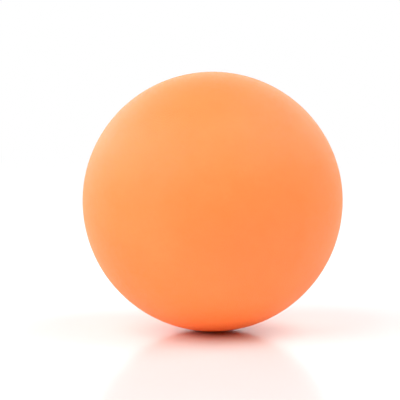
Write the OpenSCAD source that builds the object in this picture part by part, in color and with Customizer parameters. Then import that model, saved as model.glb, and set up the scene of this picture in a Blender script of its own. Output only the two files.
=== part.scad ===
// Lacrosse ball of vulcanised rubber: a plain core inside a coloured cover.
// The cover is pressed from two half shells that knit where the mould closed.
// The origin is the centre of the ball and +Z is up. The mould closed along Y,
// so the parting plane is y = 0, and the front half cover is the one on -Y.

/* [Ball] */
// Diameter of the finished ball, without the flash line
ball_d = 63.5; // [58:0.1:70]
// Thickness of the coloured cover over the core
cover_t = 6; // [3:0.25:12]

/* [Flash line] */
// Width of the trimmed flash line that the two half covers share
flash_w = 0.8; // [0.5:0.1:2]
// Height at which the trimmer leaves the line above the ball
flash_h = 0.1; // [0.04:0.02:0.2]

/* [Bond] */
// Film of rubber cement between the core and the cover
cement_t = 0.1; // [0.05:0.05:0.4]

/* [Hidden] */

cover_colour = "#fc863c";
core_colour = "#46403a";

ball_r = ball_d / 2;
cavity_r = ball_r - cover_t;
core_r = cavity_r - cement_t;

// Half of the flash line lies on each half cover. Its crown is an arc that
// starts on the ball, half the line's width from the parting plane, and is
// highest on the plane itself: foot_r is its radius from the mould axis there.
flash_half_w = flash_w / 2;
crest_r = ball_r + flash_h;
foot_r = sqrt(pow(ball_r, 2) - pow(flash_half_w, 2));
crown_rise = crest_r - foot_r;
crown_r = (pow(flash_half_w, 2) + pow(crown_rise, 2)) / (2 * crown_rise);

$fn = 180;

// Section of one half cover, for a turn about the mould axis: X is the
// distance from that axis, and Y the distance from the parting plane
module half_section() {
    intersection() {
        difference() {
            union() {
                circle(r = ball_r);
                translate([crest_r - crown_r, 0]) circle(r = crown_r);
            }
            circle(r = cavity_r);
        }
        square(crest_r);
    }
}

// One half cover, open towards the parting plane, with its pole on -Y
module half_shell() {
    rotate([90, 0, 0]) rotate_extrude() half_section();
}

// Ball of ground and pressed rubber crumb that the cover is moulded round
module core() {
    color(core_colour) sphere(r = core_r);
}

// The half that faces the viewer
module front_half_cover() {
    color(cover_colour) half_shell();
}

// Its mirror image, face to face with it at the parting plane
module rear_half_cover() {
    color(cover_colour) mirror([0, 1, 0]) half_shell();
}

core();
front_half_cover();
rear_half_cover();
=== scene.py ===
import math

import bpy
import numpy as np
from bpy.props import FloatProperty, FloatVectorProperty, IntProperty, PointerProperty
from bpy.types import Operator, Panel, PropertyGroup
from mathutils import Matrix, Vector


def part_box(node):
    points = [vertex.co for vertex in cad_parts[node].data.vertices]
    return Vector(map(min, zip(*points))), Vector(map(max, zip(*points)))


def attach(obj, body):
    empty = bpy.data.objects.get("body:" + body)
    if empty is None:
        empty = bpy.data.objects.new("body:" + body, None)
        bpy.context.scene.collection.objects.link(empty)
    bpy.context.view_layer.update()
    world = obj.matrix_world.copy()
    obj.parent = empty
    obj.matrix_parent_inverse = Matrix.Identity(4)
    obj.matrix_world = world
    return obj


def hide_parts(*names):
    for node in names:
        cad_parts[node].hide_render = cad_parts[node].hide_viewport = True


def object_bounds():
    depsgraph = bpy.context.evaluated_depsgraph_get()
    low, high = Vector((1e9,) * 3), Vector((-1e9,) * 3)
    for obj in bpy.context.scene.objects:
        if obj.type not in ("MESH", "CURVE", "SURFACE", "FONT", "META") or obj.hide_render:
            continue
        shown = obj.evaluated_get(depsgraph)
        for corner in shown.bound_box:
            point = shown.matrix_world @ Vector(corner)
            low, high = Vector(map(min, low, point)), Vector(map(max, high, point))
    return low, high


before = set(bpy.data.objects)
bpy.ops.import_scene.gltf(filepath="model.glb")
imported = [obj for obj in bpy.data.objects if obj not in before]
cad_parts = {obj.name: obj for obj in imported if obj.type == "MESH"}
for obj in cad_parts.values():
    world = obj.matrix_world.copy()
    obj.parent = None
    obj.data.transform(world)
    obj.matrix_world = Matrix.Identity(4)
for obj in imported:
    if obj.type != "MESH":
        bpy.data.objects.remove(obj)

# Lacrosse ball of orange rubber. Its two half covers are closed shells that meet at the
# parting plane, y = 0, where they share the trimmed flash line, and the core is inside them.
# The origin is the centre of the ball, +Z is up, and all lengths are in metres.

bl_info = {
    "name": "Lacrosse ball",
    "version": (1, 0, 0),
    "blender": (4, 5, 0),
    "location": "3D View > Sidebar > Lacrosse ball",
    "description": "Makes the half covers, finishes the core and sets up the studio",
    "category": "Object",
}

BODY = "root"
CAD_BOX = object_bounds()


def distances(cad_node):
    """Least and greatest distance of a CAD node's corners from the centre of the ball."""
    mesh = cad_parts[cad_node].data
    corners = np.empty(3 * len(mesh.vertices), np.float32)
    mesh.vertices.foreach_get("co", corners)
    away = np.linalg.norm(corners.reshape(-1, 3), axis=1)
    return float(away.min()), float(away.max())


BALL_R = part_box("rear_half_cover")[1].y
CAVITY_R, CREST_R = distances("rear_half_cover")


class CoverSizes(PropertyGroup):
    """Sizes of the half covers and of the flash line that they share.

    At the most rings, a half cover still has fewer than 200,000 triangles.
    """

    ball_radius: FloatProperty(
        name="Ball radius",
        description="Radius of the finished ball, without the flash line",
        default=BALL_R,
        unit="LENGTH",
        precision=5,
    )
    cavity_radius: FloatProperty(
        name="Cavity radius",
        description="Radius of the hollow that holds the core",
        default=CAVITY_R,
        unit="LENGTH",
        precision=5,
    )
    flash_height: FloatProperty(
        name="Flash height",
        description="Most that the trimmer leaves of the flash line, above the ball",
        default=CREST_R - BALL_R,
        unit="LENGTH",
        precision=5,
    )
    flash_width: FloatProperty(
        name="Flash width",
        description="Width of the flash line, over both half covers",
        default=0.0010,
        unit="LENGTH",
        precision=5,
    )
    knit_depth: FloatProperty(
        name="Knit depth",
        description="Depth of the fine crease on the crest, where the half covers meet",
        default=0.00002,
        unit="LENGTH",
        precision=6,
    )
    buffed_width: FloatProperty(
        name="Buffed width",
        description="Width of the band that the wheel has touched beside the flash line",
        default=0.0016,
        unit="LENGTH",
        precision=5,
    )
    buffed_depth: FloatProperty(
        name="Buffed depth",
        description="Most that the wheel has taken off beside the flash line",
        default=0.00002,
        unit="LENGTH",
        precision=6,
    )
    rings: IntProperty(
        name="Rings",
        description="Rings of faces from a pole to the parting plane",
        default=96,
        min=24,
        max=107,
    )


class RubberFinish(PropertyGroup):
    """Colours and surface of the cover's and the core's rubber."""

    cover_colour: FloatVectorProperty(
        name="Cover colour",
        description="Colour of the cover's orange rubber",
        subtype="COLOR",
        min=0,
        max=1,
        default=(0.97, 0.216, 0.025),
    )
    bloom_colour: FloatVectorProperty(
        name="Bloom colour",
        description="Colour of the rubber under its thin powdery bloom",
        subtype="COLOR",
        min=0,
        max=1,
        default=(0.97, 0.241, 0.040),
    )
    buffed_colour: FloatVectorProperty(
        name="Buffed colour",
        description="Colour of the rubber where the wheel has opened it",
        subtype="COLOR",
        min=0,
        max=1,
        default=(0.97, 0.270, 0.070),
    )
    cover_roughness: FloatProperty(
        name="Cover roughness",
        description="Middle roughness of the cover's skin, which its specks vary",
        subtype="FACTOR",
        default=0.55,
        min=0,
        max=1,
    )
    grain_size: FloatProperty(
        name="Grain size",
        description="Distance between the grains of the blasted mould's print",
        default=0.00032,
        unit="LENGTH",
        precision=5,
    )
    grain_depth: FloatProperty(
        name="Grain depth",
        description="Depth of the grain",
        default=0.00012,
        unit="LENGTH",
        precision=6,
    )
    cloud_size: FloatProperty(
        name="Cloud size",
        description="Size of the clouds of the bloom",
        default=0.013,
        unit="LENGTH",
        precision=5,
    )
    speck_size: FloatProperty(
        name="Speck size",
        description="Size of the specks in the bloom",
        default=0.0012,
        unit="LENGTH",
        precision=5,
    )
    streak_length: FloatProperty(
        name="Streak length",
        description="Length of the streaks that the wheel leaves along the flash line",
        default=0.0022,
        unit="LENGTH",
        precision=5,
    )
    core_colour: FloatVectorProperty(
        name="Core colour",
        description="Colour of the core's dark ground rubber",
        subtype="COLOR",
        min=0,
        max=1,
        default=(0.060, 0.051, 0.042),
    )
    crumb_size: FloatProperty(
        name="Crumb size",
        description="Size of the pressed crumbs that the core is made of",
        default=0.0013,
        unit="LENGTH",
        precision=5,
    )
    crumb_depth: FloatProperty(
        name="Crumb depth",
        description="Depth of the grooves between the crumbs",
        default=0.0001,
        unit="LENGTH",
        precision=6,
    )


# Distance of the softboxes from the ball
BOX_DISTANCE = 1.3
# Where each softbox stands, as its turn to the right of the camera and its angle above the
# horizon, in degrees; then its width, its height and its brightness, where 1 is a white sky's
SOFTBOXES = {
    "left": (-60, 50, 1.5, 1.1, 2.7),
    "left_low": (-60, 25, 1.0, 0.8, 2.0),
    "left_edge": (-130, 20, 0.5, 0.5, 5.8),
    "right": (60, 50, 1.7, 1.3, 1.3),
    "right_high": (90, 55, 1.0, 0.8, 2.4),
    "right_edge": (130, 20, 0.5, 0.5, 1.9),
    "backdrop": (180, 14, 1.6, 0.5, 1.5),
    "backdrop_top": (180, 35, 1.6, 0.6, 0.9),
}
WHITE = (1.0, 1.0, 1.0, 1.0)
# Half the side of the floor, and how white it is to the light that falls on it
FLOOR_HALF_SIDE = 4.0
FLOOR_WHITE = 0.97
# Distances from the ball's centre at which the floor starts to fade and has faded to plain white
FADE = (0.13, 0.40)
# Times that light may bounce, so that the ball's orange light reaches in under it
DIFFUSE_BOUNCES = 8
# Where the photograph has the ball: the picture's side, the ball's centre and radius, in pixels
PICTURE_PX = 400
BALL_CENTRE_PX = (212.6, 201.6)
BALL_RADIUS_PX = 129.9
# Side of the camera's sensor, in millimetres as the camera's own settings are
SENSOR_MM = 36.0


class StudioSettings(PropertyGroup):
    """Camera, lamps and floor."""

    camera_elevation: FloatProperty(
        name="Camera elevation",
        description="Angle of the camera above the horizon",
        default=math.radians(7),
        subtype="ANGLE",
    )
    camera_distance: FloatProperty(
        name="Camera distance",
        description="Distance from the camera to the centre of the ball",
        default=0.7,
        unit="LENGTH",
    )
    fill_level: FloatProperty(
        name="Fill level",
        description="Strength of the white dome that lights the ball from all round",
        default=0.0,
    )
    lamp_level: FloatProperty(
        name="Lamp level",
        description="Brightness of all the softboxes, as a share of the brightness they are set to",
        default=1.0,
        min=0,
    )
    floor_level: FloatProperty(
        name="Floor level",
        description="How white the camera sees the floor beside the ball",
        subtype="FACTOR",
        default=0.75,
        min=0,
        max=1,
    )
    floor_gloss: FloatProperty(
        name="Floor gloss",
        description="Share of the light that the glossy floor mirrors",
        subtype="FACTOR",
        default=0.14,
        min=0,
        max=1,
    )
    floor_roughness: FloatProperty(
        name="Floor roughness",
        description="Blur of what the floor mirrors",
        subtype="FACTOR",
        default=0.16,
        min=0,
        max=1,
    )


# Distance from the parting plane at which about a third of the knit crease is left
KNIT_WIDTH = 0.00005
# Spacing of the rings at the parting plane, as a share of an even spacing
EDGE_SPACING_SHARE = 0.12
# Rings of faces across the flat parting face
PARTING_RINGS = 8
# Mean height of the trimmed crest and how much it wavers, as shares of the flash height
CREST_SHARE = 0.90
CREST_WAVER_SHARE = 0.10
# How much the line's half width wavers, as a share of itself
WIDTH_WAVER_SHARE = 0.18
# Mean that the wheel takes off and how much that wavers, as shares of the buffed depth
WHEEL_SHARE = 0.6
WHEEL_WAVER_SHARE = 0.4
# Spread of the wheel's bell curve, as a share of the buffed width
WHEEL_SPREAD_SHARE = 1 / 3
# Numbers of waves round the ball in the crest, the line's width and the wheel's touch
CREST_WAVES = range(3, 41)
WIDTH_WAVES = range(2, 31)
WHEEL_WAVES = range(1, 13)
# Seeds of their phases; a half cover adds its side, -1 or 1, to the last two
CREST_SEED = 11
WIDTH_SEED = 23
WHEEL_SEED = 37


def disc_grid(rings):
    """Square grid of points laid on the unit disc, ring on ring.

    A point's distance from the middle is the larger of its two steps from the middle of the
    square. Its turn is an eighth of a circle times its smaller step over its larger one, counted
    from the middle of the square's side that it is nearest to. Returns both as square arrays.
    """
    steps = np.linspace(-1, 1, 2 * rings + 1)
    across, along = np.meshgrid(steps, steps, indexing="ij")
    sideways = np.abs(across) >= np.abs(along)
    lead = np.where(sideways, across, along)
    lag = np.where(sideways, along, across)
    share = np.divide(lag, lead, out=np.zeros_like(lag), where=lead != 0)
    turn = np.where(sideways, share, 2 - share) * math.pi / 4
    return np.abs(lead), turn + np.where(lead < 0, math.pi, 0)


def waver(turn, waves, seed):
    """Smooth unevenness round the ball, within -1 and 1.

    It is a sum of sines, each with a whole number of waves a turn, a random phase and a
    strength of one over the root of that number, divided by half the sum of the strengths.
    """
    phases = np.random.default_rng(seed).uniform(0, 2 * math.pi, len(waves))
    counts = np.asarray(waves, float)
    strengths = 1 / np.sqrt(counts)
    total = sum(
        strength * np.sin(count * turn + phase)
        for strength, count, phase in zip(strengths, counts, phases, strict=True)
    )
    return np.clip(2 * total / strengths.sum(), -1, 1)


def outer_radius(depth, turn, side, sizes):
    """Radius of a half cover's outer surface at a distance, depth, from the parting plane.

    It is the ball's radius, plus the flash line, less what the wheel took off beside it. Across
    the line the height is the square of one minus the square of the place on its half width.
    Round the ball both the height and the half width waver as the trimmer left them. The crest
    dips by the knit depth within a few hundredths of a millimetre of the parting plane. The
    wheel's cut is a bell curve about the middle of the buffed band, and wavers round the ball.
    """
    crest = sizes.flash_height * (
        CREST_SHARE + CREST_WAVER_SHARE * waver(turn, CREST_WAVES, CREST_SEED)
    )
    half_width = sizes.flash_width / 2 * (
        1 + WIDTH_WAVER_SHARE * waver(turn, WIDTH_WAVES, WIDTH_SEED + side)
    )
    place = np.clip(depth / half_width, 0, 1)
    line = crest * (1 - place**2) ** 2
    knit = sizes.knit_depth * np.exp(-((depth / KNIT_WIDTH) ** 2))
    cut = sizes.buffed_depth * (
        WHEEL_SHARE + WHEEL_WAVER_SHARE * waver(turn, WHEEL_WAVES, WHEEL_SEED + side)
    )
    spread = WHEEL_SPREAD_SHARE * sizes.buffed_width
    wheel = cut * np.exp(-(((depth - sizes.buffed_width / 2) / spread) ** 2))
    return sizes.ball_radius + line - knit - wheel


def on_sphere(radius, polar, turn, side):
    """Points at a polar angle from the pole on Y and a turn about Y, for one side of y = 0."""
    return np.stack(
        [
            radius * np.sin(polar) * np.cos(turn),
            side * radius * np.cos(polar),
            radius * np.sin(polar) * np.sin(turn),
        ],
        axis=-1,
    )


def half_shell(side, sizes):
    """Points, faces and their smoothness for one half cover, as a closed shell.

    The disc's middle goes to the pole on Y and its edge to the parting plane. With q the
    share of the way in from the disc's edge, a point lies at the share e q + (1 - e) q² of the
    quarter turn from the parting plane, so the rings lie close together beside the flash line.
    The outer surface takes its radius from outer_radius, the inner one from the core's
    cavity, and the flat parting face runs straight from the edge of one to the other's.
    """
    ring, turn = disc_grid(sizes.rings)
    inward = 1 - ring
    from_plane = math.pi / 2 * (
        EDGE_SPACING_SHARE * inward + (1 - EDGE_SPACING_SHARE) * inward**2
    )
    polar = math.pi / 2 - from_plane
    depth = sizes.ball_radius * np.sin(from_plane)
    outer = on_sphere(outer_radius(depth, turn, side, sizes), polar, turn, side)
    inner = on_sphere(sizes.cavity_radius, polar, turn, side)

    at = np.arange(ring.size).reshape(ring.shape)
    cells = np.stack([at[:-1, :-1], at[1:, :-1], at[1:, 1:], at[:-1, 1:]], -1).reshape(-1, 4)
    edge = np.concatenate([at[:-1, 0], at[-1, :-1], at[:0:-1, -1], at[0, :0:-1]])

    outer = outer.reshape(-1, 3)
    inner = inner.reshape(-1, 3)
    between = np.linspace(0, 1, PARTING_RINGS + 1)[1:-1, None, None]
    parting = (1 - between) * outer[edge] + between * inner[edge]
    first_inner = len(outer)
    first_parting = first_inner + len(inner)
    parting_at = first_parting + np.arange(parting[..., 0].size).reshape(-1, len(edge))
    loops = np.concatenate([edge[None], parting_at, first_inner + edge[None]])
    onward = np.roll(loops, -1, axis=1)
    band = np.stack([loops[1:], onward[1:], onward[:-1], loops[:-1]], -1).reshape(-1, 4)

    faces = np.concatenate([cells, first_inner + cells[:, ::-1], band])
    smooth = np.arange(len(faces)) < 2 * len(cells)
    if side > 0:
        faces = faces[:, ::-1]
    return np.concatenate([outer, inner, parting.reshape(-1, 3)]), faces, smooth


def new_piece(name, points, faces, smooth):
    """Mesh object at the origin, from whole arrays of points and four-cornered faces."""
    mesh = bpy.data.meshes.new(name)
    mesh.vertices.add(len(points))
    mesh.vertices.foreach_set("co", points.astype(np.float32).ravel())
    mesh.loops.add(faces.size)
    mesh.loops.foreach_set("vertex_index", faces.astype(np.int32).ravel())
    mesh.polygons.add(len(faces))
    starts = np.arange(0, faces.size, faces.shape[1], dtype=np.int32)
    mesh.polygons.foreach_set("loop_start", starts)
    mesh.polygons.foreach_set("use_smooth", smooth)
    mesh.update(calc_edges=True)
    mesh.validate()
    piece = bpy.data.objects.new(name, mesh)
    bpy.context.scene.collection.objects.link(piece)
    return piece


def node(tree, kind, inputs=None, **settings):
    """Shader node of a kind, with its settings made and its inputs linked or set."""
    made = tree.nodes.new(kind)
    for name, value in settings.items():
        setattr(made, name, value)
    for name, value in (inputs or {}).items():
        if isinstance(value, bpy.types.NodeSocket):
            tree.links.new(value, made.inputs[name])
        else:
            made.inputs[name].default_value = value
    return made


# How many finer layers a noise has, and how strong each is as a share of the coarser one
NOISE_DETAIL = 4.0
FINE_SHARE = 0.6


def noise(tree, place, size):
    """Noise from 0 to 1 whose lumps are about this size, in metres, with finer lumps on them."""
    made = node(
        tree,
        "ShaderNodeTexNoise",
        {"Vector": place, "Scale": 1 / size, "Detail": NOISE_DETAIL, "Roughness": FINE_SHARE},
    )
    return made.outputs["Fac"]


def ramp(tree, value, start, end, low=0.0, high=1.0):
    """Value carried smoothly from low at start to high at end, and held past both."""
    made = node(
        tree,
        "ShaderNodeMapRange",
        {"Value": value, "From Min": start, "From Max": end, "To Min": low, "To Max": high},
        interpolation_type="SMOOTHSTEP",
    )
    return made.outputs["Result"]


def times(tree, first, second):
    """Product of two values or sockets."""
    made = node(tree, "ShaderNodeMath", {0: first, 1: second}, operation="MULTIPLY")
    return made.outputs["Value"]


def chosen(tree, value, share):
    """1 where a value spread evenly from 0 to 1 is in the top share of that, otherwise 0."""
    made = node(tree, "ShaderNodeMath", {0: value, 1: 1 - share}, operation="GREATER_THAN")
    return made.outputs["Value"]


# Places of a Mix node's two colours among its inputs, and of its mixed colour among its outputs
FIRST_COLOUR = 6
SECOND_COLOUR = 7
MIXED_COLOUR = 2


def mixed(tree, share, first, second):
    """Colour that goes from the first to the second as share goes from 0 to 1."""
    made = node(tree, "ShaderNodeMix", {"Factor": share}, data_type="RGBA")
    for place, colour in ((FIRST_COLOUR, first), (SECOND_COLOUR, second)):
        if isinstance(colour, bpy.types.NodeSocket):
            tree.links.new(colour, made.inputs[place])
        else:
            made.inputs[place].default_value = (*colour, 1.0)
    return made.outputs[MIXED_COLOUR]


def new_tree(name):
    """New material, its empty node tree, and the coordinates of the piece that it is put on."""
    material = bpy.data.materials.new(name)
    material.use_nodes = True
    tree = material.node_tree
    tree.nodes.clear()
    place = tree.nodes.new("ShaderNodeTexCoord").outputs["Object"]
    return material, tree, place


# Index of refraction of rubber
RUBBER_INDEX = 1.6
# Range that holds most of a noise's values
NOISE_RANGE = (0.30, 0.70)
# Least and most of the bloom's colour that the specks in its clouds show, as shares
SPECK_SHARES = (0.35, 0.9)
# How far the specks take the cover's roughness up and down
ROUGHNESS_SPREAD = 0.05
# Least and most of the buffed colour that the wheel's streaks show, as shares
STREAK_SHARES = (0.25, 0.8)
# How many times finer the streaks are across the flash line than along it
STREAK_FINENESS = 16.0
# How far from the parting plane the buffing is full, as a share of the buffed width
FULL_SHARE = 1 / 3
# Colours of the core's palest grey crumbs and of its tan and orange ones, and the shares of
# all crumbs that are tan and orange
GREY_CRUMB = (0.11, 0.10, 0.09)
TAN_CRUMB = (0.35, 0.27, 0.17)
ORANGE_CRUMB = (0.62, 0.17, 0.05)
TAN_SHARE = 0.10
ORANGE_SHARE = 0.05
# Size of the marks on a crumb, as a share of the crumb's size
MARK_SHARE = 0.2
# Least and most roughness of the core
CORE_ROUGHNESS = (0.78, 0.92)


def rubber_shader(tree, colour, roughness, height, depth):
    """Matte rubber: a rough shader with a bump whose height, from 0 to 1, stands for a depth."""
    bump = node(tree, "ShaderNodeBump", {"Height": height, "Strength": 1.0, "Distance": depth})
    shader = node(
        tree,
        "ShaderNodeBsdfPrincipled",
        {
            "Base Color": colour,
            "Roughness": roughness,
            "Normal": bump.outputs["Normal"],
            "IOR": RUBBER_INDEX,
        },
    )
    node(tree, "ShaderNodeOutputMaterial", {"Surface": shader.outputs["BSDF"]})


def cover_rubber(sizes, finish):
    """Orange rubber with a blasted mould's grain and a thin uneven bloom, buffed beside y = 0."""
    material, tree, place = new_tree("cover_rubber")
    grain = noise(tree, place, finish.grain_size)
    cloud = noise(tree, place, finish.cloud_size)
    speck = noise(tree, place, finish.speck_size)
    bloom = times(
        tree,
        ramp(tree, cloud, *NOISE_RANGE),
        ramp(tree, speck, *NOISE_RANGE, *SPECK_SHARES),
    )
    colour = mixed(tree, bloom, finish.cover_colour, finish.bloom_colour)

    along_axis = node(tree, "ShaderNodeSeparateXYZ", {"Vector": place}).outputs["Y"]
    depth = node(tree, "ShaderNodeMath", {0: along_axis}, operation="ABSOLUTE").outputs["Value"]
    scale = (1, STREAK_FINENESS, 1)
    squeezed = node(tree, "ShaderNodeMapping", {"Vector": place, "Scale": scale})
    streak = noise(tree, squeezed.outputs["Vector"], finish.streak_length)
    buffed = times(
        tree,
        ramp(tree, depth, sizes.buffed_width, FULL_SHARE * sizes.buffed_width),
        ramp(tree, streak, *NOISE_RANGE, *STREAK_SHARES),
    )
    colour = mixed(tree, buffed, colour, finish.buffed_colour)

    middle = finish.cover_roughness
    spread = ROUGHNESS_SPREAD
    roughness = ramp(tree, speck, *NOISE_RANGE, middle - spread, middle + spread)
    rubber_shader(tree, colour, roughness, grain, finish.grain_depth)
    return material


def core_rubber(finish):
    """Dark pressed rubber crumb, ground round, with tan and orange crumbs among the black."""
    material, tree, place = new_tree("core_rubber")
    scale = 1 / finish.crumb_size
    crumb = node(tree, "ShaderNodeTexVoronoi", {"Vector": place, "Scale": scale})
    tint = node(tree, "ShaderNodeSeparateColor", {"Color": crumb.outputs["Color"]}).outputs
    colour = mixed(tree, tint["Red"], finish.core_colour, GREY_CRUMB)
    colour = mixed(tree, chosen(tree, tint["Green"], TAN_SHARE), colour, TAN_CRUMB)
    colour = mixed(tree, chosen(tree, tint["Blue"], ORANGE_SHARE), colour, ORANGE_CRUMB)
    marks = noise(tree, place, MARK_SHARE * finish.crumb_size)
    roughness = ramp(tree, marks, *NOISE_RANGE, *CORE_ROUGHNESS)
    rubber_shader(tree, colour, roughness, crumb.outputs["Distance"], finish.crumb_depth)
    return material


def seen_or_mirrored(tree):
    """1 for a ray from the camera, a mirroring surface or glass, and 0 for any other."""
    path = tree.nodes.new("ShaderNodeLightPath").outputs
    either = path["Is Camera Ray"]
    for other in ("Is Glossy Ray", "Is Transmission Ray"):
        made = node(tree, "ShaderNodeMath", {0: either, 1: path[other]}, operation="MAXIMUM")
        either = made.outputs["Value"]
    return either


def white_surround(scene, fill_level):
    """White dome: plain white where it is seen or mirrored, and the fill level where it lights."""
    world = bpy.data.worlds.new("white_surround")
    world.use_nodes = True
    tree = world.node_tree
    tree.nodes.clear()
    strength = node(
        tree,
        "ShaderNodeMapRange",
        {"Value": seen_or_mirrored(tree), "To Min": fill_level, "To Max": 1.0},
    )
    shade = node(
        tree,
        "ShaderNodeBackground",
        {"Color": WHITE, "Strength": strength.outputs["Result"]},
    )
    node(tree, "ShaderNodeOutputWorld", {"Surface": shade.outputs["Background"]})
    scene.world = world


def white_gloss(studio):
    """White gloss panel with a blurred mirror image in its top coat.

    The camera sees the panel a little darker than it is, so that the shadow and the mirror
    image show on it, and away from the ball it sees plain white.
    """
    material, tree, place = new_tree("floor_white")
    camera = tree.nodes.new("ShaderNodeLightPath").outputs["Is Camera Ray"]
    seen = mixed(tree, camera, (FLOOR_WHITE,) * 3, (studio.floor_level,) * 3)
    white = node(tree, "ShaderNodeBsdfDiffuse", {"Color": seen})
    gloss = node(
        tree,
        "ShaderNodeBsdfAnisotropic",
        {"Color": WHITE, "Roughness": studio.floor_roughness},
    )
    both = node(
        tree,
        "ShaderNodeMixShader",
        {0: studio.floor_gloss, 1: white.outputs["BSDF"], 2: gloss.outputs["BSDF"]},
    )
    away = node(tree, "ShaderNodeVectorMath", {0: place}, operation="LENGTH").outputs["Value"]
    plain = times(tree, seen_or_mirrored(tree), ramp(tree, away, *FADE))
    backdrop = node(tree, "ShaderNodeEmission", {"Color": WHITE, "Strength": 1.0})
    shader = node(
        tree,
        "ShaderNodeMixShader",
        {0: plain, 1: both.outputs["Shader"], 2: backdrop.outputs["Emission"]},
    )
    node(tree, "ShaderNodeOutputMaterial", {"Surface": shader.outputs["Shader"]})
    return material


def white_floor(studio, level):
    """Flat square floor at a height."""
    half = FLOOR_HALF_SIDE
    corners = [(-half, -half), (half, -half), (half, half), (-half, half)]
    points = np.array([(x, y, level) for x, y in corners])
    floor = new_piece("floor", points, np.array([[0, 1, 2, 3]]), np.array([False]))
    floor.data.materials.append(white_gloss(studio))


def softbox(scene, name, lamp_level):
    """Softbox that looks at the ball and that the camera doesn't see.

    Its power is its brightness times its area times pi.
    """
    turn_deg, elevation_deg, width, height, brightness = SOFTBOXES[name]
    lamp = bpy.data.lights.new(name, "AREA")
    lamp.shape = "RECTANGLE"
    lamp.size = width
    lamp.size_y = height
    lamp.energy = lamp_level * brightness * width * height * math.pi
    turn = math.radians(turn_deg)
    elevation = math.radians(elevation_deg)
    out = math.cos(elevation)
    towards = Vector((out * math.sin(turn), -out * math.cos(turn), math.sin(elevation)))
    holder = bpy.data.objects.new(name, lamp)
    holder.location = BOX_DISTANCE * towards
    holder.rotation_euler = (-towards).to_track_quat("-Z", "Y").to_euler()
    holder.visible_camera = False
    scene.collection.objects.link(holder)


def photo_camera(scene, studio, ball_radius):
    """Camera at the photograph's angle, with the ball where and as large as it is there.

    The focal length is the sensor's side times the share of the picture that the ball's radius
    takes, over the tangent of the half angle under which the ball is seen. The camera looks
    past the ball by the angle of the ball's place off the middle of the picture.
    """
    distance = studio.camera_distance
    elevation = studio.camera_elevation
    half_angle = math.asin(ball_radius / distance)
    data = bpy.data.cameras.new("photo_camera")
    data.sensor_width = SENSOR_MM
    data.lens = SENSOR_MM * BALL_RADIUS_PX / PICTURE_PX / math.tan(half_angle)
    camera = bpy.data.objects.new("photo_camera", data)
    back = Vector((0, -math.cos(elevation), math.sin(elevation)))
    camera.location = distance * back
    right_px = BALL_CENTRE_PX[0] - PICTURE_PX / 2
    down_px = BALL_CENTRE_PX[1] - PICTURE_PX / 2
    metres_per_px = distance * SENSOR_MM / PICTURE_PX / data.lens
    right = Vector((1, 0, 0))
    up = right.cross(-back)
    target = metres_per_px * (down_px * up - right_px * right)
    camera.rotation_euler = (target - camera.location).to_track_quat("-Z", "Y").to_euler()
    scene.collection.objects.link(camera)
    scene.camera = camera


class BALL_OT_half_covers(Operator):
    """Make the front and the rear half cover and their orange rubber"""

    bl_idname = "ball.half_covers"
    bl_label = "Make half covers"

    def execute(self, context):
        sizes = context.scene.ball_covers
        rubber = cover_rubber(sizes, context.scene.ball_rubber)
        for name, cad_node, side in (
            ("front_cover_skin", "front_half_cover", -1),
            ("rear_cover_skin", "rear_half_cover", 1),
        ):
            cover = new_piece(name, *half_shell(side, sizes))
            cover.data.materials.append(rubber)
            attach(cover, BODY)
            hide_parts(cad_node)
        return {"FINISHED"}


class BALL_OT_core(Operator):
    """Give the core its ground rubber crumb"""

    bl_idname = "ball.core"
    bl_label = "Finish core"

    def execute(self, context):
        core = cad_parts["core"]
        core.data.materials.clear()
        core.data.materials.append(core_rubber(context.scene.ball_rubber))
        return {"FINISHED"}


class BALL_OT_studio(Operator):
    """Set up the white floor, the surround, the softboxes and the camera"""

    bl_idname = "ball.studio"
    bl_label = "Set up studio"

    def execute(self, context):
        scene = context.scene
        studio = scene.ball_studio
        white_surround(scene, studio.fill_level)
        white_floor(studio, CAD_BOX[0].z)
        for name in SOFTBOXES:
            softbox(scene, name, studio.lamp_level)
        photo_camera(scene, studio, scene.ball_covers.ball_radius)
        scene.view_settings.view_transform = "Standard"
        scene.cycles.diffuse_bounces = DIFFUSE_BOUNCES
        return {"FINISHED"}


class VIEW3D_PT_lacrosse_ball(Panel):
    """Sizes, finish and studio of the ball, with a button for each step"""

    bl_label = "Lacrosse ball"
    bl_space_type = "VIEW_3D"
    bl_region_type = "UI"
    bl_category = "Lacrosse ball"

    def draw(self, context):
        scene = context.scene
        for group, operator in (
            (scene.ball_covers, BALL_OT_half_covers),
            (scene.ball_rubber, BALL_OT_core),
            (scene.ball_studio, BALL_OT_studio),
        ):
            box = self.layout.box()
            for name in group.__annotations__:
                box.prop(group, name)
            box.operator(operator.bl_idname)


CLASSES = (
    CoverSizes,
    RubberFinish,
    StudioSettings,
    BALL_OT_half_covers,
    BALL_OT_core,
    BALL_OT_studio,
    VIEW3D_PT_lacrosse_ball,
)


def register():
    for made in CLASSES:
        bpy.utils.register_class(made)
    bpy.types.Scene.ball_covers = PointerProperty(type=CoverSizes)
    bpy.types.Scene.ball_rubber = PointerProperty(type=RubberFinish)
    bpy.types.Scene.ball_studio = PointerProperty(type=StudioSettings)


def unregister():
    del bpy.types.Scene.ball_studio
    del bpy.types.Scene.ball_rubber
    del bpy.types.Scene.ball_covers
    for made in reversed(CLASSES):
        bpy.utils.unregister_class(made)


def main():
    register()
    bpy.ops.ball.half_covers()
    bpy.ops.ball.core()
    bpy.ops.ball.studio()


if __name__ == "__main__":
    main()
